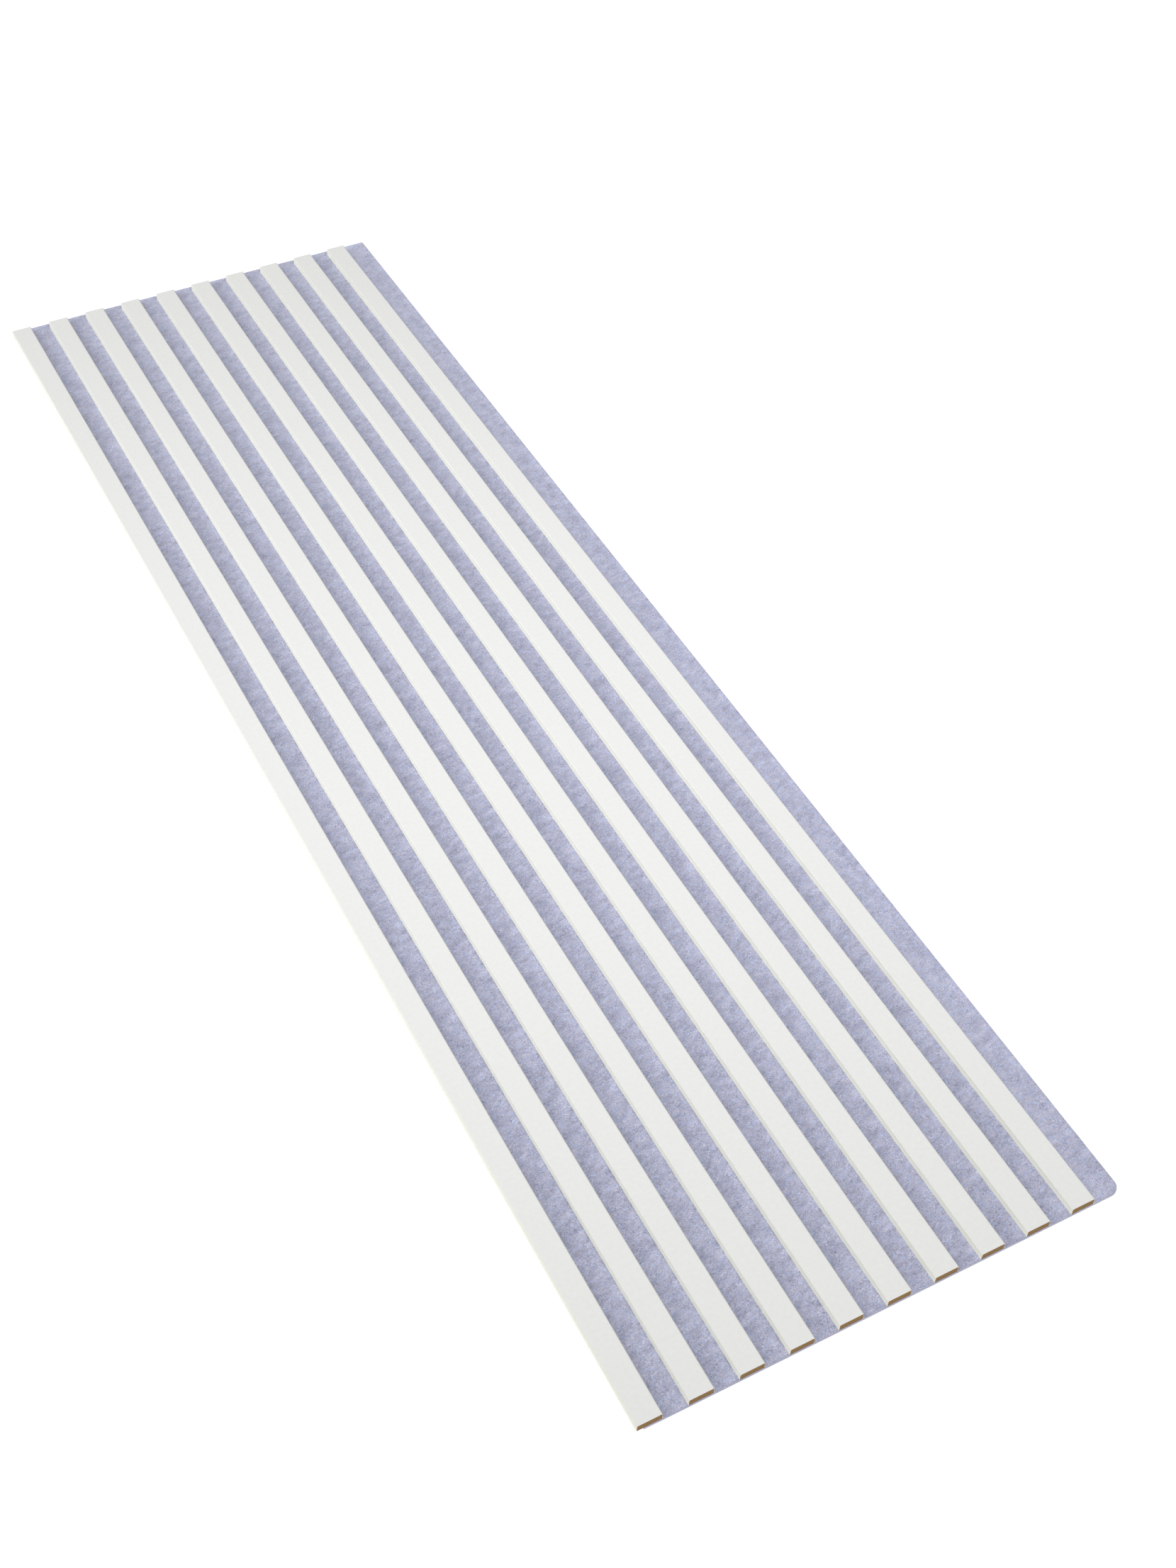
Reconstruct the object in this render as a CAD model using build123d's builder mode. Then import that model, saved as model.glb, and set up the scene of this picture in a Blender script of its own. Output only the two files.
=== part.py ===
"""Acoustic slat panel: laminate-wrapped MDF slats glued to one sheet of polyester felt.

The panel lies on its felt with the slats up. X runs across the slats, Y runs along them and Z
rises from the back of the felt. The origin is the middle of the panel's outline, on that back.
The felt lies one lap to the right of the slats: the first slat hangs over the felt's left edge,
so that it covers the butt joint to the felt of the panel on its left. At the near end felt and
slats are flush, and at the far end the felt runs a little past the slats.
"""

import os

from build123d import *

# Driving dimensions, in millimetres
slat_length = 2400.0
slat_count = 10
slat_width = 35.0  # over the wrap
slat_gap = 35.0  # bare felt between two slats
slat_height = 12.0  # over the wrap, from the felt
core_arris_radius = 1.0  # the core's two long top edges, under the wrap
wrap_thickness = 0.6
felt_thickness = 6.0
felt_lap = 10.0  # how far the felt is set to the right of the slats
felt_end_lap = 12.0  # how far the felt runs past the slats at the far end
felt_corner_radius = 14.0  # the near right corner alone is rounded

# Slat section
core_width = slat_width - 2 * wrap_thickness
core_height = slat_height - wrap_thickness
wrap_arris_radius = core_arris_radius + wrap_thickness

# Layout across the panel: the felt is one pitch wide for each slat, so that panels repeat
slat_pitch = slat_width + slat_gap
felt_width = slat_count * slat_pitch
overall_width = felt_width + felt_lap
left_side = -overall_width / 2
first_slat_x = left_side + slat_width / 2
felt_centre_x = left_side + felt_lap + felt_width / 2

# Layout along the panel: the felt is as long as the panel
felt_length = slat_length + felt_end_lap
near_end = -felt_length / 2
slat_centre_y = near_end + slat_length / 2

BOTTOM_CENTRE = (Align.CENTER, Align.MIN)


def section_plane(slat_x):
    """The upright plane across the middle of a slat, with its origin on the felt's face."""
    return Plane(origin=(slat_x, slat_centre_y, felt_thickness), x_dir=(1, 0, 0), z_dir=(0, -1, 0))


os.makedirs("parts", exist_ok=True)

# Felt sheet that carries the slats
with BuildPart() as felt_backing:
    with BuildSketch(Plane.XY) as felt_outline:
        with Locations((felt_centre_x, 0)):
            Rectangle(felt_width, felt_length)
        near_right_corner = felt_outline.vertices().group_by(Axis.X)[-1].sort_by(Axis.Y)[0]
        fillet(near_right_corner, radius=felt_corner_radius)
    extrude(amount=felt_thickness)

felt_backing.part.label = "felt_backing"
export_step(felt_backing.part, "parts/felt_backing.step")

# Slats, counted from the left: an MDF core, and a laminate bent over its top and down its sides
for index in range(slat_count):
    number = f"{index + 1:02d}"
    slat_plane = section_plane(first_slat_x + index * slat_pitch)

    with BuildPart() as slat_core:
        with BuildSketch(slat_plane) as core_section:
            Rectangle(core_width, core_height, align=BOTTOM_CENTRE)
            top_arrises = core_section.vertices().group_by(Axis.Y)[-1]
            fillet(top_arrises, radius=core_arris_radius)
        extrude(amount=slat_length / 2, both=True)

    with BuildPart() as slat_wrap:
        with BuildSketch(slat_plane) as wrap_section:
            Rectangle(slat_width, slat_height, align=BOTTOM_CENTRE)
            top_arrises = wrap_section.vertices().group_by(Axis.Y)[-1]
            fillet(top_arrises, radius=wrap_arris_radius)
            add(core_section.sketch_local, mode=Mode.SUBTRACT)
        extrude(amount=slat_length / 2, both=True)

    slat_core.part.label = f"slat_core_{number}"
    slat_wrap.part.label = f"slat_wrap_{number}"
    export_step(slat_core.part, f"parts/slat_core_{number}.step")
    export_step(slat_wrap.part, f"parts/slat_wrap_{number}.step")
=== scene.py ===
"""Acoustic slat panel: felt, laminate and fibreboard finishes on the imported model, and a studio stage.

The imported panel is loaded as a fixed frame. The slats keep their solids and get their finishes. The felt
is replaced by a lumpy, soft-edged sheet with loose strands on it. All lengths are in metres.
"""

import math

import bpy
import numpy as np
from bpy.props import FloatProperty, FloatVectorProperty, IntProperty, PointerProperty
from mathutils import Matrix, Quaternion, Vector, noise


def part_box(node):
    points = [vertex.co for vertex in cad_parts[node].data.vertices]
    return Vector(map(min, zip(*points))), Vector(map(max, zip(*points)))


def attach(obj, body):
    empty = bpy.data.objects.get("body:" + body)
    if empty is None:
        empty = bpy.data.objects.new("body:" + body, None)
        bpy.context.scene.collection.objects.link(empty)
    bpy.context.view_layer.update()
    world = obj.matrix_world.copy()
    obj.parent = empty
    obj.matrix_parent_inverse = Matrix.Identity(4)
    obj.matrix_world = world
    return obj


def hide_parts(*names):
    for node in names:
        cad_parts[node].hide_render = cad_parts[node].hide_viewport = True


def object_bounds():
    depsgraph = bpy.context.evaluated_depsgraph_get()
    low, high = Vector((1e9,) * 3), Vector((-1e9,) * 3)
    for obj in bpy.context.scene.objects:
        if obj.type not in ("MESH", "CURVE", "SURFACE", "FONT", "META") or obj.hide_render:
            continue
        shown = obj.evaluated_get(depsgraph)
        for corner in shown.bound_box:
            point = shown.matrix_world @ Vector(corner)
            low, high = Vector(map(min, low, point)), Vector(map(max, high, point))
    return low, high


bl_info = {
    "name": "Acoustic slat panel",
    "version": (1, 0, 0),
    "blender": (4, 5, 0),
    "location": "View3D > Sidebar > Slat panel",
    "description": "Finishes an acoustic slat panel and sets it on a studio stage",
    "category": "Object",
}

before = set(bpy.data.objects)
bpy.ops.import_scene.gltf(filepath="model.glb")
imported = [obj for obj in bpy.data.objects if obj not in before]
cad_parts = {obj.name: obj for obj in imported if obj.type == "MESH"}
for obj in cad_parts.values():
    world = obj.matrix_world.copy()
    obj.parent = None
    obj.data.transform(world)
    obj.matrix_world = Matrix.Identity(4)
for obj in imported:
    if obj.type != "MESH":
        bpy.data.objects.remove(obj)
CAD_BOX = [list(corner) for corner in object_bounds()]
BODY = "root"

FELT_NODE = "felt_backing"
SHEET = "felt_sheet"
BARE = "bare"  # attribute of the felt's faces that no slat covers
SHADE = "strand_shade"  # attribute that holds each loose strand's own shade
WRAP_NODES = sorted(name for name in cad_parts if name.startswith("slat_wrap"))
CORE_NODES = sorted(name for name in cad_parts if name.startswith("slat_core"))

MM = 0.001


def srgb(code):
    """The linear colour of a six-digit hexadecimal one."""
    levels = [int(code[i:i + 2], 16) / 255 for i in (0, 2, 4)]
    return tuple(v / 12.92 if v <= 0.04045 else ((v + 0.055) / 1.055) ** 2.4 for v in levels)


def colour_property(name, description, code):
    """A colour that a user can change."""
    return FloatVectorProperty(
        name=name, description=description, subtype="COLOR", size=3, min=0.0, max=1.0, default=srgb(code)
    )


def length_property(name, description, default):
    """A length that a user can change."""
    return FloatProperty(
        name=name, description=description, unit="LENGTH", subtype="DISTANCE", min=0.0, default=default,
        precision=5,
    )


class FeltSettings(bpy.types.PropertyGroup):
    """Sizes and colours of the felt."""

    corner_radius: length_property("Corner radius", "Radius of the felt's one rounded corner", 14 * MM)
    edge_radius: length_property("Edge radius", "How round the cut edges of the felt are", 1.1 * MM)
    bulge: length_property("Bulge", "How far the felt swells between two slats", 0.25 * MM)
    lump_height: length_property("Lump height", "Height of the felt's soft lumps", 0.3 * MM)
    lump_size: length_property("Lump size", "Distance between the felt's soft lumps", 17 * MM)
    shade: colour_property("Shade", "Darkest felt", "86879f")
    light: colour_property("Light", "Lightest felt", "d9e0fc")
    grey: colour_property("Grey", "Lightest felt where it leans to grey", "e1dff2")
    # Painted light: the felt beyond the last slat is lightened, and most of all right beside that slat, where
    # its shadow falls
    lap_painted_light: FloatProperty(
        name="Lap lift", description="How much lighter the felt is beyond the last slat", min=0.0,
        default=0.05,
    )
    slat_shadow_painted_light: FloatProperty(
        name="Slat lift", description="How much lighter than that the felt is right beside the last slat",
        min=0.0, default=0.19,
    )
    # Painted light: the felt is lightened towards the far end, where the lamps' light falls off
    far_painted_light: FloatProperty(
        name="Far lift", description="How much lighter the felt is at the far end", min=0.0, default=0.08
    )
    cut_edge: colour_property("Cut edge", "Felt where it was cut through", "d0d1e8")
    strand_variety: FloatProperty(
        name="Strand variety", description="How much loose strands differ in shade", min=0.0, default=0.22
    )
    strand_length: length_property("Strand length", "Mean length of a loose strand", 3.8 * MM)
    strand_width: length_property("Strand width", "Thickness of a loose strand", 0.7 * MM)
    strand_lift: length_property("Strand lift", "How far a strand bows out of the felt", 0.04 * MM)
    strand_density: FloatProperty(
        name="Strand density", description="Loose strands on a square metre of felt", min=0.0, default=50000.0
    )
    seed: IntProperty(name="Seed", description="Seed of the loose strands", default=7)


class SlatSettings(bpy.types.PropertyGroup):
    """Colours of the slats."""

    laminate: colour_property("Laminate", "Top of the laminate", "f1f1ed")
    # Painted light: the foot of a slat's sides is lighter, against the shade that falls there beside the felt
    laminate_foot_painted_light: colour_property("Laminate side", "Laminate at the foot of a slat's sides", "f1f1e3")
    # Painted shade: the top of a slat's sides is darker, against the light that falls on it from the left
    laminate_bend_painted_shade: colour_property("Laminate bend", "Laminate at the top of a slat's sides", "e5e5d8")
    # Painted shade: the rounded edges are darker, against their highlight
    laminate_arris_painted_shade: colour_property("Laminate arris", "Laminate on a slat's rounded edges", "ddddd7")
    laminate_edge: colour_property("Laminate edge", "Sawn edge of the laminate", "f4ecd9")
    board_dark: colour_property("Board, dark", "Dense skin and dark fibres of the board", "725432")
    board_light: colour_property("Board, light", "Light fibres of the board", "c5a171")


class StageSettings(bpy.types.PropertyGroup):
    """Camera, light and floor."""

    camera_place: FloatVectorProperty(
        name="Camera", description="Place of the camera", subtype="TRANSLATION", unit="LENGTH",
        default=(-0.9454, -2.0670, 2.2523),
    )
    camera_target: FloatVectorProperty(
        name="Target", description="Point in the middle of the picture", subtype="TRANSLATION", unit="LENGTH",
        default=(0.0761, -0.2738, 0.0),
    )
    camera_roll: FloatProperty(
        name="Roll", description="Turn of the camera about its axis", subtype="ANGLE",
        default=math.radians(2.33),
    )
    lens: FloatProperty(name="Lens", description="Focal length in millimetres", min=1.0, default=46.54)
    overhead_place: FloatVectorProperty(
        name="Overhead light", description="Place of the light above the panel", subtype="TRANSLATION",
        unit="LENGTH", default=(0.3, -0.36, 2.2),
    )
    overhead_power: FloatProperty(
        name="Overhead power", description="Power of the light above", unit="POWER", min=0.0, default=3.7
    )
    side_place: FloatVectorProperty(
        name="Side light", description="Place of the light at the left", subtype="TRANSLATION",
        unit="LENGTH", default=(-8.0, 0.3, 2.65),
    )
    side_power: FloatProperty(
        name="Side power", description="Power of the light at the left", unit="POWER", min=0.0, default=6.8
    )
    sky: FloatProperty(
        name="Sky", description="Strength of the even light from all round", min=0.0, default=0.735
    )
    sky_lean: FloatProperty(
        name="Sky lean", description="How much brighter the even light is at the left than overhead",
        subtype="FACTOR", min=0.0, max=1.0, default=0.75,
    )
    floor: colour_property("Floor", "Colour of the floor", "dcdcdc")


def join(tree, socket, value):
    """Links a socket to another one, or sets it to a constant."""
    if isinstance(value, bpy.types.NodeSocket):
        tree.links.new(value, socket)
    else:
        socket.default_value = value


def node(tree, kind, inputs=None, **settings):
    """Adds a node, with its settings and its inputs by name or number."""
    made = tree.nodes.new(kind)
    for name, value in settings.items():
        setattr(made, name, value)
    for key, value in (inputs or {}).items():
        join(tree, made.inputs[key], value)
    return made


def maths(tree, operation, *values):
    """The result of a Math node."""
    return node(tree, "ShaderNodeMath", dict(enumerate(values)), operation=operation).outputs[0]


def fade(tree, value, low, high):
    """0 below low, 1 above high and smooth between them."""
    inputs = {"Value": value, "From Min": low, "From Max": high}
    return node(tree, "ShaderNodeMapRange", inputs, interpolation_type="SMOOTHSTEP").outputs[0]


MIX_FIRST, MIX_SECOND, MIX_RESULT = 6, 7, 2  # the sockets of a Mix node that hold colours


def blend(tree, factor, first, second, kind="MIX"):
    """A colour between two others, or another mix of them."""
    inputs = {"Factor": factor, MIX_FIRST: first, MIX_SECOND: second}
    return node(tree, "ShaderNodeMix", inputs, data_type="RGBA", blend_type=kind).outputs[MIX_RESULT]


def rgba(colour):
    """An opaque colour."""
    return (*colour, 1.0)


def grain(tree, place, size, detail=2.0, roughness=0.5, turn=0.0, shift=0.0):
    """Noise whose grains have this size along X, Y and Z, turned about Z, and shifted along X."""
    inputs = {
        "Vector": place, "Location": (shift, 0.0, 0.0), "Rotation": (0.0, 0.0, turn), "Scale": size,
    }
    mapped = node(tree, "ShaderNodeMapping", inputs, vector_type="TEXTURE").outputs[0]
    inputs = {"Vector": mapped, "Scale": 1.0, "Detail": detail, "Roughness": roughness}
    return node(tree, "ShaderNodeTexNoise", inputs).outputs[0]


def new_material(name):
    """An empty material, its tree and the place on the piece."""
    material = bpy.data.materials.new(name)
    material.use_nodes = True
    tree = material.node_tree
    tree.nodes.clear()
    return material, tree, node(tree, "ShaderNodeTexCoord").outputs["Object"]


def surface(tree, shader):
    """Ends a material with its shader."""
    node(tree, "ShaderNodeOutputMaterial", {"Surface": shader})


def bump(tree, height, distance, strength):
    """The normal of a surface with fine relief."""
    inputs = {"Height": height, "Distance": distance, "Strength": strength}
    return node(tree, "ShaderNodeBump", inputs).outputs[0]


def seen_by_camera(tree):
    """1 where the camera sees a surface, straight, mirrored or through glass, and 0 for other light."""
    path = node(tree, "ShaderNodeLightPath").outputs
    seen = maths(tree, "MAXIMUM", path["Is Camera Ray"], path["Is Glossy Ray"])
    return maths(tree, "MAXIMUM", seen, path["Is Transmission Ray"])


LAMINATE_MOTTLE = 6 * MM  # size of the mottles in the paper
LAMINATE_TOOTH = 0.7 * MM  # size of its fine relief
LAMINATE_SOIL = (0.965, 0.965, 0.96)  # shade of the darkest mottles
MOTTLE_RANGE = (0.2, 0.8)  # noise of the darkest and of the lightest mottles
GLOSS_SPREAD, GLOSS_LEAST = 0.16, 0.55  # of the laminate's roughness
# Heights of the stops of the painted shading on the slats' sides and rounded edges
ARRIS_START, ARRIS_MIDDLE = 1.6 * MM, 0.5 * MM  # below the top, where a side turns into its rounded edge
TOP_START, TOP_END = 0.12 * MM, 0.002 * MM  # below the top, where the rounded edge turns into the top
SAWN_DEPTH = 0.02 * MM  # how much of a slat's end counts as sawn


def laminate_painted_shading(slats, tree, height):
    """The laminate's colour with painted shading: lighter at the foot of a slat's sides against the shade
    there, darker at the top of the sides and on the rounded edges against their highlight, and plain on the
    top.
    """
    foot, top = (corner[2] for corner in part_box(WRAP_NODES[0]))
    stops = (
        (foot, top - ARRIS_START, slats.laminate_bend_painted_shade),
        (top - ARRIS_START, top - ARRIS_MIDDLE, slats.laminate_arris_painted_shade),
        (top - TOP_START, top - TOP_END, slats.laminate),
    )
    colour = rgba(slats.laminate_foot_painted_light)
    for low, high, shade in stops:
        colour = blend(tree, fade(tree, height, low, high), colour, rgba(shade))
    return colour


def laminate_material(slats):
    """Matt off-white decor paper with painted shading on the slats' sides and rounded edges, and its pale raw
    edge where the slat was sawn.
    """
    material, tree, place = new_material("white_laminate")
    mottle = grain(tree, place, (LAMINATE_MOTTLE,) * 3, detail=3.0)
    tooth = grain(tree, place, (LAMINATE_TOOTH,) * 3)
    _, along, height = node(tree, "ShaderNodeSeparateXYZ", {0: place}).outputs
    paper_painted_shading = laminate_painted_shading(slats, tree, height)
    soiled = blend(tree, 1.0, paper_painted_shading, rgba(LAMINATE_SOIL), "MULTIPLY")
    face = blend(tree, fade(tree, mottle, *MOTTLE_RANGE), soiled, paper_painted_shading)

    near, far = (corner[1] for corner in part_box(WRAP_NODES[0]))
    from_middle = maths(tree, "ABSOLUTE", maths(tree, "SUBTRACT", along, (near + far) / 2))
    sawn = maths(tree, "GREATER_THAN", from_middle, (far - near) / 2 - SAWN_DEPTH)
    colour = blend(tree, sawn, face, rgba(slats.laminate_edge))
    gloss = maths(tree, "MULTIPLY_ADD", tooth, GLOSS_SPREAD, GLOSS_LEAST)
    inputs = {
        "Base Color": colour,
        "Roughness": maths(tree, "MAXIMUM", gloss, sawn),
        "Specular IOR Level": 0.25,
        "Normal": bump(tree, tooth, distance=0.02 * MM, strength=0.35),
    }
    surface(tree, node(tree, "ShaderNodeBsdfPrincipled", inputs).outputs[0])
    return material


BOARD_LAYER = (2.2 * MM, 2.2 * MM, 0.35 * MM)  # size of the clumps of fibres
BOARD_SPECK = 0.35 * MM
BOARD_SPECK_SHARE = 0.4  # of the board's pattern, and the rest is layers
BOARD_RANGE = (0.3, 0.7)  # pattern of the darkest and of the lightest board
BOARD_SKIN = 1.1 * MM
BOARD_SKIN_SHADE = 0.6  # how much darker the skin is
SAW_MARK = (0.3 * MM, 2.0 * MM, 9.0 * MM)
SAW_DEPTH = 0.5  # of the saw marks, as a share of the pattern's relief


def board_material(slats):
    """Sawn fibreboard: layered fibres, a dense dark skin at top and bottom and fine saw marks."""
    material, tree, place = new_material("fibreboard")
    layers = grain(tree, place, BOARD_LAYER, detail=4.0, roughness=0.65)
    specks = grain(tree, place, (BOARD_SPECK,) * 3)
    saw = grain(tree, place, SAW_MARK, detail=1.0)

    foot, top = (corner[2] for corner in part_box(CORE_NODES[0]))
    height = node(tree, "ShaderNodeSeparateXYZ", {0: place}).outputs["Z"]
    top_skin = fade(tree, height, top - BOARD_SKIN, top)
    low_skin = fade(tree, maths(tree, "MULTIPLY", height, -1.0), -foot - BOARD_SKIN, -foot)
    skin = maths(tree, "MAXIMUM", top_skin, low_skin)

    fine = maths(tree, "MULTIPLY", specks, BOARD_SPECK_SHARE)
    mixed = maths(tree, "MULTIPLY_ADD", layers, 1 - BOARD_SPECK_SHARE, fine)
    darker = maths(tree, "MULTIPLY", skin, BOARD_SKIN_SHADE)
    tone = maths(tree, "SUBTRACT", fade(tree, mixed, *BOARD_RANGE), darker)
    colour = blend(tree, tone, rgba(slats.board_dark), rgba(slats.board_light))
    relief = maths(tree, "MULTIPLY_ADD", saw, SAW_DEPTH, mixed)
    inputs = {
        "Base Color": colour,
        "Roughness": 0.85,
        "Specular IOR Level": 0.2,
        "Normal": bump(tree, relief, distance=0.15 * MM, strength=0.5),
    }
    surface(tree, node(tree, "ShaderNodeBsdfPrincipled", inputs).outputs[0])
    return material


STRAND_TURNS = (-33, -9, 15, 39, 63)  # degrees from X to Y: strands run more across the slats than along
STRAND_GRAIN = (2.8 * MM, 1.2 * MM, 2 * MM)  # the first along the strands
STRAND_DRIFT = 3 * MM  # how far strands are led astray
DRIFT_SCALE = 90.0  # waves of that drift in a metre
STRAND_PATCH = 9 * MM  # size of the patches in which one direction shows
PATCH_RANGE = (0.38, 0.6)  # noise where a direction starts to show, and where it shows in full
PATCH_SHIFT = 1.0  # keeps the patches of the directions apart
STRAND_CONTRAST = 0.82
CLOUD_TURN = 15  # degrees from X to Y
CLOUD_GRAIN = (17 * MM, 10 * MM, 13 * MM)
CLOUD_CONTRAST = 1.32
HUE_GRAIN = 7 * MM
HUE_RANGE = (0.34, 0.66)  # noise where the felt is bluest, and where it is greyest
HUE_SHIFT = 9.0  # keeps the hue apart from the tone


def painted_felt_light(felt, tree, place):
    """Painted light on the felt: extra lightness beyond the last slat, most of all beside it where its shadow
    falls, and at the far end where the lamps' light falls off.
    """
    across, along, _ = node(tree, "ShaderNodeSeparateXYZ", {0: place}).outputs
    slat_left, slat_right = (corner[0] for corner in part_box(WRAP_NODES[-1]))
    beside = maths(tree, "SUBTRACT", 1.0, fade(tree, across, slat_right, CAD_BOX[1][0]))
    lift = maths(tree, "MULTIPLY_ADD", beside, felt.slat_shadow_painted_light, felt.lap_painted_light)
    lift = maths(tree, "MULTIPLY", fade(tree, across, slat_left, slat_right), lift)
    return maths(tree, "MULTIPLY_ADD", fade(tree, along, 0.0, CAD_BOX[1][1]), felt.far_painted_light, lift)


def felt_tone(felt, tree, place):
    """How light the felt is at a place: clouds, tangled strands that run mostly across the slats, and painted
    light beyond the last slat and at the far end.
    """
    inputs = {"Vector": place, "Scale": DRIFT_SCALE, "Detail": 1.0}
    drift = node(tree, "ShaderNodeTexNoise", inputs).outputs["Color"]
    inputs = {0: drift, 1: (0.5, 0.5, 0.5)}
    drift = node(tree, "ShaderNodeVectorMath", inputs, operation="SUBTRACT").outputs[0]
    inputs = {0: drift, 1: (STRAND_DRIFT,) * 3, 2: place}
    tangled = node(tree, "ShaderNodeVectorMath", inputs, operation="MULTIPLY_ADD").outputs[0]

    tone = maths(tree, "ADD", painted_felt_light(felt, tree, place), 0.5)
    for number, turn in enumerate(STRAND_TURNS):
        layer = grain(tree, tangled, STRAND_GRAIN, detail=1.0, turn=math.radians(turn))
        patch = grain(tree, place, (STRAND_PATCH,) * 3, detail=1.0, shift=PATCH_SHIFT + number)
        strength = maths(tree, "MULTIPLY", fade(tree, patch, *PATCH_RANGE), STRAND_CONTRAST)
        tone = maths(tree, "MULTIPLY_ADD", maths(tree, "SUBTRACT", layer, 0.5), strength, tone)
    clouds = grain(tree, place, CLOUD_GRAIN, detail=4.0, roughness=0.8, turn=math.radians(CLOUD_TURN))
    return maths(tree, "MULTIPLY_ADD", maths(tree, "SUBTRACT", clouds, 0.5), CLOUD_CONTRAST, tone)


def felt_colour(felt, tree, place, tone):
    """The felt's colour where it has a tone."""
    hue = grain(tree, place, (HUE_GRAIN,) * 3, detail=3.0, shift=HUE_SHIFT)
    light = blend(tree, fade(tree, hue, *HUE_RANGE), rgba(felt.light), rgba(felt.grey))
    return blend(tree, tone, rgba(felt.shade), light)


def felt_surface(tree, colour, normal=None):
    """Matt polyester fibres with a soft sheen."""
    inputs = {
        "Base Color": colour,
        "Roughness": 0.95,
        "Specular IOR Level": 0.12,
        "Sheen Weight": 0.5,
        "Sheen Roughness": 0.4,
    }
    shader = node(tree, "ShaderNodeBsdfPrincipled", inputs)
    if normal:
        tree.links.new(normal, shader.inputs["Normal"])
    surface(tree, shader.outputs[0])


CUT_RANGE = (0.3, 0.8)  # steepness where the felt starts to look cut, and where it looks most so
CUT_SHARE = 0.75  # of the cut edge's colour where the felt is steepest
DARKER_STRANDS = 0.3  # share of the loose strands that are darker than the felt below them


def felt_material(felt):
    """Needled felt with a plainer cut edge."""
    material, tree, place = new_material("needled_felt")
    tone = felt_tone(felt, tree, place)
    body = felt_colour(felt, tree, place, tone)
    facing = node(tree, "ShaderNodeNewGeometry").outputs["True Normal"]
    upright = maths(tree, "ABSOLUTE", node(tree, "ShaderNodeSeparateXYZ", {0: facing}).outputs["Z"])
    steep = maths(tree, "SUBTRACT", 1.0, upright)
    cut = maths(tree, "MULTIPLY", fade(tree, steep, *CUT_RANGE), CUT_SHARE)
    colour = blend(tree, cut, body, rgba(felt.cut_edge))
    felt_surface(tree, colour, bump(tree, tone, distance=0.3 * MM, strength=0.45))
    return material


def strand_material(felt):
    """Loose strands of the felt, each a little lighter or darker than the felt below it."""
    material, tree, place = new_material("felt_strand")
    shade = node(tree, "ShaderNodeAttribute", attribute_name=SHADE).outputs["Fac"]
    own = maths(tree, "MULTIPLY", maths(tree, "SUBTRACT", shade, DARKER_STRANDS), felt.strand_variety)
    tone = maths(tree, "ADD", felt_tone(felt, tree, place), own)
    felt_surface(tree, felt_colour(felt, tree, place, tone))
    return material


WHITE = (1.0, 1.0, 1.0, 1.0)
FLOOR_SEEN = (0.42, 0.42, 0.42, 1.0)  # colour of the floor that the camera sees
FLOOR_GLOW = 0.78  # what that floor needs besides to be white where no shadow falls


def floor_material(stage):
    """Pale floor that the camera sees as white, but for the panel's shadow."""
    material, tree, _ = new_material("studio_floor")
    lit = node(tree, "ShaderNodeBsdfDiffuse", {"Color": rgba(stage.floor)}).outputs[0]
    half_lit = node(tree, "ShaderNodeBsdfDiffuse", {"Color": FLOOR_SEEN}).outputs[0]
    glow = node(tree, "ShaderNodeEmission", {"Color": WHITE, "Strength": FLOOR_GLOW}).outputs[0]
    white = node(tree, "ShaderNodeAddShader", {0: half_lit, 1: glow}).outputs[0]
    inputs = {0: seen_by_camera(tree), 1: lit, 2: white}
    surface(tree, node(tree, "ShaderNodeMixShader", inputs).outputs[0])
    return material


def link(name, data):
    """An object at the origin with this data."""
    made = bpy.data.objects.new(name, data)
    bpy.context.scene.collection.objects.link(made)
    return made


def dress(node_names, material):
    """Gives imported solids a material."""
    for name in node_names:
        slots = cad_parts[name].data.materials
        slots.clear()
        slots.append(material)


def spaced(start, end, step):
    """Evenly spaced values from start to end, no more than a step apart."""
    return np.linspace(start, end, math.ceil((end - start) / step) + 1).tolist()


GRID_ACROSS, GRID_ALONG = 4.6 * MM, 6.0 * MM  # widest spacing of the felt's grid lines
SLAT_FOOT = 1.5 * MM  # strip of felt beside a slat where it is pulled down to the glue
EDGE_STEPS = 3  # facets of a rounded cut edge
LUMP_FALL, LUMP_STEP, LUMP_LAYERS = 0.9, 2.1, 3  # of the fractal noise that makes the lumps
BACK_DENT = 0.5  # depth of the dents in the back, as a share of the lumps' height
ROUNDING = 1e-9  # by which two equal places may differ


def felt_columns(left, right, slats):
    """Places of the grid lines across the felt, and whether the strip after each is bare."""
    columns, bare = [left], []
    here = left
    for slat_left, slat_right in slats:
        if slat_left > here:
            lines = spaced(here + SLAT_FOOT, slat_left - SLAT_FOOT, GRID_ACROSS) + [slat_left]
            columns += lines
            bare += [True] * len(lines)
        columns.append(slat_right)
        bare.append(False)
        here = slat_right
    lines = spaced(here + SLAT_FOOT, right, GRID_ACROSS)
    return columns + lines, bare + [True] * len(lines)


def round_corner(x, y, centre, radius):
    """Bends the square corner of a grid that lies right of and below a centre to a quarter circle."""
    across, down = (x - centre[0]) / radius, (centre[1] - y) / radius
    if across <= 0 or down <= 0:
        return x, y
    return (
        centre[0] + radius * across * math.sqrt(1 - down * down / 2),
        centre[1] - radius * down * math.sqrt(1 - across * across / 2),
    )


def felt_lump(felt, x, y, side):
    """Height of the felt's lumps at a place on its face or, with another side, on its back."""
    place = Vector((x, y, side)) / felt.lump_size
    return noise.fractal(place, LUMP_FALL, LUMP_STEP, LUMP_LAYERS) * felt.lump_height


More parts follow.
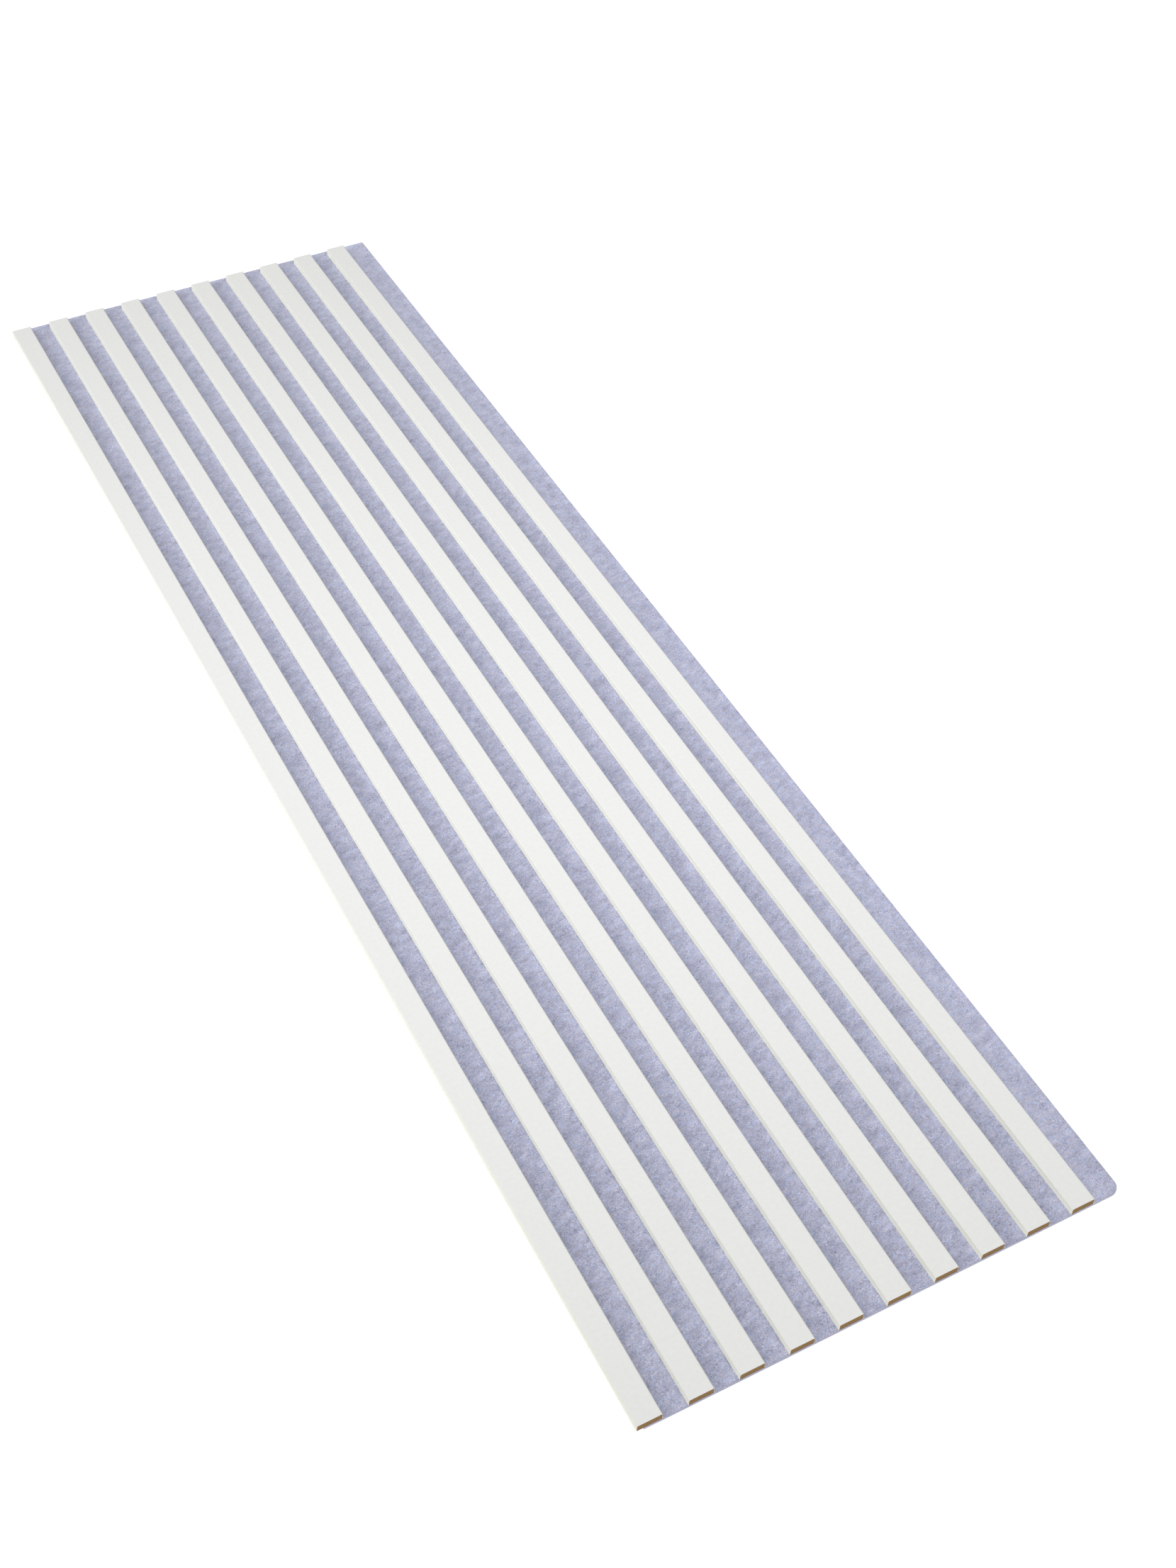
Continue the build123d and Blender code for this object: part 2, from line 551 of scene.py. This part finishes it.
def felt_faces(wide, long, bare):
    """Faces of the top and the back of a grid, and for each whether it is bare felt."""
    faces, bare_faces = [], []
    under = wide * long
    for j in range(long - 1):
        for i in range(wide - 1):
            a, b = j * wide + i, (j + 1) * wide + i
            faces.append((a, a + 1, b + 1, b))
            bare_faces.append(bare[i])
            faces.append((under + b, under + b + 1, under + a + 1, under + a))
            bare_faces.append(False)
    return faces, bare_faces


def grid_border(wide, long):
    """The points round a grid, in order."""
    border = list(range(wide))
    border += [j * wide + wide - 1 for j in range(1, long)]
    border += [(long - 1) * wide + i for i in range(wide - 2, -1, -1)]
    return border + [j * wide for j in range(long - 2, 0, -1)]


def outward_from(x, y, lowest, highest, corner):
    """The direction out of the felt at a place on its border."""
    if x > corner[0] and y < corner[1]:
        direction = Vector((x - corner[0], y - corner[1]))
    else:
        across = (x >= highest[0] - ROUNDING) - (x <= lowest[0] + ROUNDING)
        along = (y >= highest[1] - ROUNDING) - (y <= lowest[1] + ROUNDING)
        direction = Vector((across, along))
    return direction.normalized()


def felt_mesh(felt):
    """A closed sheet with soft lumps where it is bare, and rounded cut edges."""
    lowest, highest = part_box(FELT_NODE)
    slats = [(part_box(name)[0][0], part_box(name)[1][0]) for name in WRAP_NODES]
    inset = felt.edge_radius
    left, right = lowest[0] + inset, highest[0] - inset
    near, far = lowest[1] + inset, highest[1] - inset
    columns, bare = felt_columns(left, right, slats)
    rows = spaced(near, far, GRID_ALONG)
    corner = (highest[0] - felt.corner_radius, lowest[1] + felt.corner_radius)
    corner_radius = felt.corner_radius - inset

    wide, long = len(columns), len(rows)
    points = []
    for y in rows:
        for i, x in enumerate(columns):
            open_side = bare[min(i, wide - 2)] and bare[max(i - 1, 0)]
            rise = felt.bulge + felt_lump(felt, x, y, 0.0) if open_side else 0.0
            points.append((*round_corner(x, y, corner, corner_radius), highest[2] + rise))
    for y in rows:
        for x in columns:
            dent = abs(felt_lump(felt, x, y, 1.0)) * BACK_DENT
            points.append((*round_corner(x, y, corner, corner_radius), lowest[2] + dent))
    faces, bare_faces = felt_faces(wide, long, bare)

    under = wide * long
    border = grid_border(wide, long)
    outward = [outward_from(*points[a][:2], (left, near), (right, far), corner) for a in border]

    def ring(turn, top):
        """The border moved out and down, or out and up from below, by part of a rounded edge."""
        out, down = inset * math.sin(turn), inset * (1 - math.cos(turn))
        start = len(points)
        for a, direction in zip(border, outward):
            x, y, z = points[a if top else under + a]
            step = direction * out
            points.append((x + step.x, y + step.y, z - down if top else z + down))
        return [start + k for k in range(len(border))]

    turns = [math.pi / 2 * k / EDGE_STEPS for k in range(1, EDGE_STEPS + 1)]
    rings = [border] + [ring(turn, True) for turn in turns]
    rings += [ring(turn, False) for turn in reversed(turns)] + [[under + a for a in border]]
    for upper, lower in zip(rings, rings[1:]):
        for k in range(len(border)):
            after = (k + 1) % len(border)
            faces.append((upper[k], lower[k], lower[after], upper[after]))
            bare_faces.append(False)

    mesh = bpy.data.meshes.new(SHEET)
    mesh.from_pydata(points, [], faces)
    mesh.attributes.new(BARE, "BOOLEAN", "FACE").data.foreach_set("value", bare_faces)
    mesh.shade_smooth()
    mesh.validate()
    return mesh


def group_input(tree, name, kind, default):
    """Adds an input to a geometry tree."""
    socket = tree.interface.new_socket(name, in_out="INPUT", socket_type=kind)
    socket.default_value = default
    return socket


RANDOM_SOCKETS = {"FLOAT": (2, 1), "INT": (4, 2)}  # lowest value and result, for each type of number


def random_value(tree, data_type, low, high, seed):
    """A random number for each point or instance."""
    first, output = RANDOM_SOCKETS[data_type]
    inputs = {first: low, first + 1: high, "Seed": seed}
    return node(tree, "FunctionNodeRandomValue", inputs, data_type=data_type).outputs[output]


def vector(tree, x, y, z):
    """A vector from its parts."""
    return node(tree, "ShaderNodeCombineXYZ", {0: x, 1: y, 2: z}).outputs[0]


STRAND_BENDS = (-0.3, -0.12, 0.08, 0.25)  # sideways bow of each kind of strand, as a share of its length
STRAND_SIDES = 3
STRAND_STEPS = 3
STRAND_SUNK = 0.25  # how deep a strand's axis lies in the felt, as a share of its width
STRAND_CREST = 3.0  # height of the middle control point of a strand's bow, in lifts
SCALE_RANGE = (0.6, 1.3)  # smallest and largest strand
TURN_SEED, SCALE_SEED, KIND_SEED, SHADE_SEED = 1, 2, 3, 4
WELD = 1e-6  # distance at which the points of a strand's tip become one
GAPS_IN_PIECE = 2  # gaps that one piece of loose strands covers


def strand_kinds(tree, length, width, lift):
    """Short bowed spindles of a few kinds, each as an instance."""
    half = maths(tree, "MULTIPLY", length, 0.5)
    sunk = maths(tree, "MULTIPLY", width, -STRAND_SUNK)
    dip = maths(tree, "SUBTRACT", sunk, lift)
    crest = maths(tree, "MULTIPLY_ADD", lift, STRAND_CREST, sunk)
    radius = maths(tree, "MULTIPLY", width, 0.5)
    profile = node(
        tree, "GeometryNodeCurvePrimitiveCircle", {"Resolution": STRAND_SIDES, "Radius": radius}
    ).outputs[0]
    along = node(tree, "GeometryNodeSplineParameter").outputs["Factor"]
    taper = maths(tree, "SINE", maths(tree, "MULTIPLY", along, math.pi))
    kinds = node(tree, "GeometryNodeGeometryToInstance")
    for bend in STRAND_BENDS:
        inputs = {
            "Resolution": STRAND_STEPS,
            "Start": vector(tree, maths(tree, "MULTIPLY", half, -1.0), 0.0, dip),
            "Middle": vector(tree, 0.0, maths(tree, "MULTIPLY", length, bend), crest),
            "End": vector(tree, half, 0.0, dip),
        }
        line = node(tree, "GeometryNodeCurveQuadraticBezier", inputs).outputs[0]
        inputs = {"Curve": line, "Profile Curve": profile, "Scale": taper}
        tube = node(tree, "GeometryNodeCurveToMesh", inputs).outputs[0]
        spindle = node(tree, "GeometryNodeMergeByDistance", {"Geometry": tube, "Distance": WELD}).outputs[0]
        tree.links.new(spindle, kinds.inputs[0])
    return kinds.outputs[0]


def strand_room(tree, given):
    """Each strand's scale, its half length, the bare felt beside it, and whether it has to go."""
    place = node(tree, "GeometryNodeInputPosition").outputs[0]
    x, y, _ = node(tree, "ShaderNodeSeparateXYZ", {0: place}).outputs
    size = random_value(tree, "FLOAT", *SCALE_RANGE, SCALE_SEED)
    reach = maths(tree, "MULTIPLY", maths(tree, "MULTIPLY", given["Length"], 0.5), size)
    left = maths(tree, "FLOORED_MODULO", maths(tree, "SUBTRACT", x, given["First gap"]), given["Pitch"])
    lap = maths(tree, "MULTIPLY", maths(tree, "GREATER_THAN", x, given["Last gap"]), given["Lap"])
    right = maths(tree, "SUBTRACT", maths(tree, "ADD", given["Gap"], lap), left)
    beside = maths(tree, "MINIMUM", left, right)
    least = maths(tree, "SUBTRACT", beside, given["Width"])
    least = maths(tree, "MINIMUM", least, maths(tree, "SUBTRACT", x, given["From"]))
    least = maths(tree, "MINIMUM", least, maths(tree, "SUBTRACT", given["To"], x))
    ends = maths(tree, "SUBTRACT", maths(tree, "SUBTRACT", given["Far"], reach), maths(tree, "ABSOLUTE", y))
    outside = maths(tree, "LESS_THAN", maths(tree, "MINIMUM", least, ends), 0.0)
    return size, reach, beside, outside


def strand_tree(material):
    """Geometry nodes that strew bowed strands over the bare felt between two places across it."""
    tree = bpy.data.node_groups.new("felt_strands", "GeometryNodeTree")
    tree.interface.new_socket("Geometry", in_out="INPUT", socket_type="NodeSocketGeometry")
    tree.interface.new_socket("Geometry", in_out="OUTPUT", socket_type="NodeSocketGeometry")
    for name in ("From", "To", "First gap", "Pitch", "Gap", "Lap", "Last gap", "Far"):
        group_input(tree, name, "NodeSocketFloat", 0.0)
    for name in ("Length", "Width", "Lift", "Density"):
        group_input(tree, name, "NodeSocketFloat", 0.0)
    group_input(tree, "Seed", "NodeSocketInt", 0)
    given = node(tree, "NodeGroupInput").outputs

    bare = node(tree, "GeometryNodeInputNamedAttribute", {"Name": BARE}, data_type="BOOLEAN").outputs[0]
    inputs = {
        "Mesh": given["Geometry"], "Selection": bare, "Density": given["Density"], "Seed": given["Seed"],
    }
    strewn = node(tree, "GeometryNodeDistributePointsOnFaces", inputs).outputs
    size, reach, beside, outside = strand_room(tree, given)
    inputs = {"Geometry": strewn["Points"], "Selection": outside}
    points = node(tree, "GeometryNodeDeleteGeometry", inputs, domain="POINT").outputs[0]

    widest = maths(tree, "ARCSINE", maths(tree, "MINIMUM", maths(tree, "DIVIDE", beside, reach), 1.0))
    share = random_value(tree, "FLOAT", -1.0, 1.0, TURN_SEED)
    turn = maths(tree, "MULTIPLY_ADD", share, widest, math.pi / 2)
    spin = node(tree, "FunctionNodeEulerToRotation", {0: vector(tree, 0.0, 0.0, turn)}).outputs[0]
    inputs = {0: strewn["Rotation"], 1: spin}
    turned = node(tree, "FunctionNodeRotateRotation", inputs, rotation_space="LOCAL").outputs[0]
    inputs = {
        "Points": points,
        "Instance": strand_kinds(tree, given["Length"], given["Width"], given["Lift"]),
        "Pick Instance": True,
        "Instance Index": random_value(tree, "INT", 0, len(STRAND_BENDS) - 1, KIND_SEED),
        "Rotation": turned,
        "Scale": vector(tree, size, size, size),
    }
    strands = node(tree, "GeometryNodeInstanceOnPoints", inputs).outputs[0]
    own = random_value(tree, "FLOAT", 0.0, 1.0, SHADE_SEED)
    inputs = {"Geometry": strands, "Name": SHADE, "Value": own}
    shaded = node(
        tree, "GeometryNodeStoreNamedAttribute", inputs, data_type="FLOAT", domain="INSTANCE"
    ).outputs[0]
    real = node(tree, "GeometryNodeRealizeInstances", {"Geometry": shaded}).outputs[0]
    done = node(tree, "GeometryNodeSetMaterial", {"Geometry": real, "Material": material}).outputs[0]
    node(tree, "NodeGroupOutput", {"Geometry": done})
    return tree


def grown(name, base, tree, values):
    """A plain mesh object made by a geometry tree from the mesh of another object."""
    host = link(name + "_host", base.data)
    modifier = host.modifiers.new("strands", "NODES")
    modifier.node_group = tree
    for item in tree.interface.items_tree:
        if item.in_out == "INPUT" and item.name in values:
            modifier[item.identifier] = values[item.name]
    evaluated = host.evaluated_get(bpy.context.evaluated_depsgraph_get())
    mesh = bpy.data.meshes.new_from_object(evaluated)
    bpy.data.objects.remove(host)
    mesh.name = name
    mesh.shade_smooth()
    return link(name, mesh)


class SLAT_PANEL_OT_felt_sheet(bpy.types.Operator):
    """Make the felt sheet in place of its plain solid"""

    bl_idname = "slat_panel.felt_sheet"
    bl_label = "Felt sheet"

    def execute(self, context):
        felt = context.scene.slat_panel_felt
        sheet = link(SHEET, felt_mesh(felt))
        sheet.data.materials.append(felt_material(felt))
        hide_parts(FELT_NODE)
        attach(sheet, BODY)
        return {"FINISHED"}


class SLAT_PANEL_OT_felt_strands(bpy.types.Operator):
    bl_idname = "slat_panel.felt_strands"
    bl_label = "Felt strands"

    def execute(self, context):
        felt = context.scene.slat_panel_felt
        sheet = bpy.data.objects[SHEET]
        lowest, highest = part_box(FELT_NODE)
        slats = [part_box(name) for name in WRAP_NODES]
        tree = strand_tree(strand_material(felt))
        values = {
            "First gap": slats[0][1][0],
            "Pitch": slats[1][0][0] - slats[0][0][0],
            "Gap": slats[1][0][0] - slats[0][1][0],
            "Last gap": slats[-1][1][0],
            "Far": highest[1],
            "Length": felt.strand_length,
            "Width": felt.strand_width,
            "Lift": felt.strand_lift,
            "Density": felt.strand_density,
        }
        values["Lap"] = highest[0] - values["Last gap"] - values["Gap"]
        strands = []
        for first in range(0, len(slats), GAPS_IN_PIECE):
            number = len(strands) + 1
            values["From"] = slats[first][0][0]
            values["To"] = values["From"] + GAPS_IN_PIECE * values["Pitch"]
            values["Seed"] = felt.seed + number
            piece = grown(f"felt_strands_{number}", sheet, tree, values)
            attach(piece, BODY)
            strands.append(piece)
        return {"FINISHED"}


class SLAT_PANEL_OT_slat_wraps(bpy.types.Operator):
    """Finish the laminate on the slats"""

    bl_idname = "slat_panel.slat_wraps"
    bl_label = "Laminate wraps"

    def execute(self, context):
        dress(WRAP_NODES, laminate_material(context.scene.slat_panel_slats))
        return {"FINISHED"}


class SLAT_PANEL_OT_slat_cores(bpy.types.Operator):
    """Finish the fibreboard cores of the slats"""

    bl_idname = "slat_panel.slat_cores"
    bl_label = "Fibreboard cores"

    def execute(self, context):
        dress(CORE_NODES, board_material(context.scene.slat_panel_slats))
        return {"FINISHED"}


FLOOR_REACH = 30.0
LAMP_COLOUR = (0.98, 0.98, 1.07)
OVERHEAD_SIZE, OVERHEAD_SPREAD = (0.9, 0.6), 115.0  # spreads are in degrees
SIDE_SIZE, SIDE_SPREAD = (1.6, 0.5), 27.0


def softbox(name, place, size, spread, power):
    """A rectangular lamp that faces the panel's middle line and isn't seen itself."""
    lamp = bpy.data.lights.new(name, "AREA")
    lamp.shape = "RECTANGLE"
    lamp.size, lamp.size_y = size
    lamp.spread = math.radians(spread)
    lamp.energy = power
    lamp.color = LAMP_COLOUR
    made = link(name, lamp)
    made.location = place
    made.rotation_mode = "QUATERNION"
    aim = Vector((0.0, place[1], 0.0)) - Vector(place)
    made.rotation_quaternion = aim.to_track_quat("-Z", "Y")
    made.visible_camera = False


def studio_floor(stage):
    """A wide floor under the panel."""
    mesh = bpy.data.meshes.new("floor")
    corners = ((-1, -1), (1, -1), (1, 1), (-1, 1))
    mesh.from_pydata([(x * FLOOR_REACH, y * FLOOR_REACH, 0) for x, y in corners], [], [(0, 1, 2, 3)])
    mesh.materials.append(floor_material(stage))
    floor = link("floor", mesh)


def studio_world(stage):
    """Even light from all round that is brighter at the left, and white where the camera sees it."""
    world = bpy.data.worlds.new("studio")
    world.use_nodes = True
    tree = world.node_tree
    tree.nodes.clear()
    direction = node(tree, "ShaderNodeTexCoord").outputs["Generated"]
    rightward = node(tree, "ShaderNodeSeparateXYZ", {0: direction}).outputs["X"]
    strength = maths(tree, "MULTIPLY_ADD", rightward, -stage.sky * stage.sky_lean, stage.sky)
    sky = node(tree, "ShaderNodeBackground", {"Color": WHITE, "Strength": strength}).outputs[0]
    backdrop = node(tree, "ShaderNodeBackground", {"Color": WHITE, "Strength": 1.0}).outputs[0]
    mixed = node(tree, "ShaderNodeMixShader", {0: seen_by_camera(tree), 1: sky, 2: backdrop}).outputs[0]
    node(tree, "ShaderNodeOutputWorld", {"Surface": mixed})
    return world


def studio_camera(stage):
    """The camera at the photograph's viewing angle."""
    lens = bpy.data.cameras.new("camera")
    lens.lens = stage.lens
    camera = link("camera", lens)
    camera.location = stage.camera_place
    camera.rotation_mode = "QUATERNION"
    aim = (Vector(stage.camera_target) - camera.location).to_track_quat("-Z", "Y")
    camera.rotation_quaternion = aim @ Quaternion((0, 0, 1), stage.camera_roll)
    return camera


class SLAT_PANEL_OT_stage(bpy.types.Operator):
    """Set up the floor, the light and the camera"""

    bl_idname = "slat_panel.stage"
    bl_label = "Stage"

    def execute(self, context):
        scene, stage = context.scene, context.scene.slat_panel_stage
        studio_floor(stage)
        softbox("overhead_light", stage.overhead_place, OVERHEAD_SIZE, OVERHEAD_SPREAD, stage.overhead_power)
        softbox("side_light", stage.side_place, SIDE_SIZE, SIDE_SPREAD, stage.side_power)
        scene.world = studio_world(stage)
        bpy.context.scene.camera = studio_camera(stage)
        scene.view_settings.view_transform = "Standard"
        return {"FINISHED"}


class SLAT_PANEL_PT_sidebar(bpy.types.Panel):
    """Settings and steps of the slat panel"""

    bl_label = "Acoustic slat panel"
    bl_space_type = "VIEW_3D"
    bl_region_type = "UI"
    bl_category = "Slat panel"

    def draw(self, context):
        for step in STEPS:
            self.layout.operator(step.bl_idname)
        for group in ("slat_panel_felt", "slat_panel_slats", "slat_panel_stage"):
            settings = getattr(context.scene, group)
            box = self.layout.box()
            for name in settings.__annotations__:
                box.prop(settings, name)


STEPS = (
    SLAT_PANEL_OT_felt_sheet,
    SLAT_PANEL_OT_felt_strands,
    SLAT_PANEL_OT_slat_wraps,
    SLAT_PANEL_OT_slat_cores,
    SLAT_PANEL_OT_stage,
)
CLASSES = (FeltSettings, SlatSettings, StageSettings, *STEPS, SLAT_PANEL_PT_sidebar)


def register():
    """Makes the settings and operators known to Blender."""
    for cls in CLASSES:
        bpy.utils.register_class(cls)
    bpy.types.Scene.slat_panel_felt = PointerProperty(type=FeltSettings)
    bpy.types.Scene.slat_panel_slats = PointerProperty(type=SlatSettings)
    bpy.types.Scene.slat_panel_stage = PointerProperty(type=StageSettings)


def unregister():
    """Takes them out again."""
    del bpy.types.Scene.slat_panel_stage
    del bpy.types.Scene.slat_panel_slats
    del bpy.types.Scene.slat_panel_felt
    for cls in reversed(CLASSES):
        bpy.utils.unregister_class(cls)


def main():
    """Builds the whole scene."""
    register()
    bpy.ops.slat_panel.felt_sheet()
    bpy.ops.slat_panel.felt_strands()
    bpy.ops.slat_panel.slat_wraps()
    bpy.ops.slat_panel.slat_cores()
    bpy.ops.slat_panel.stage()


if __name__ == "__main__":
    main()
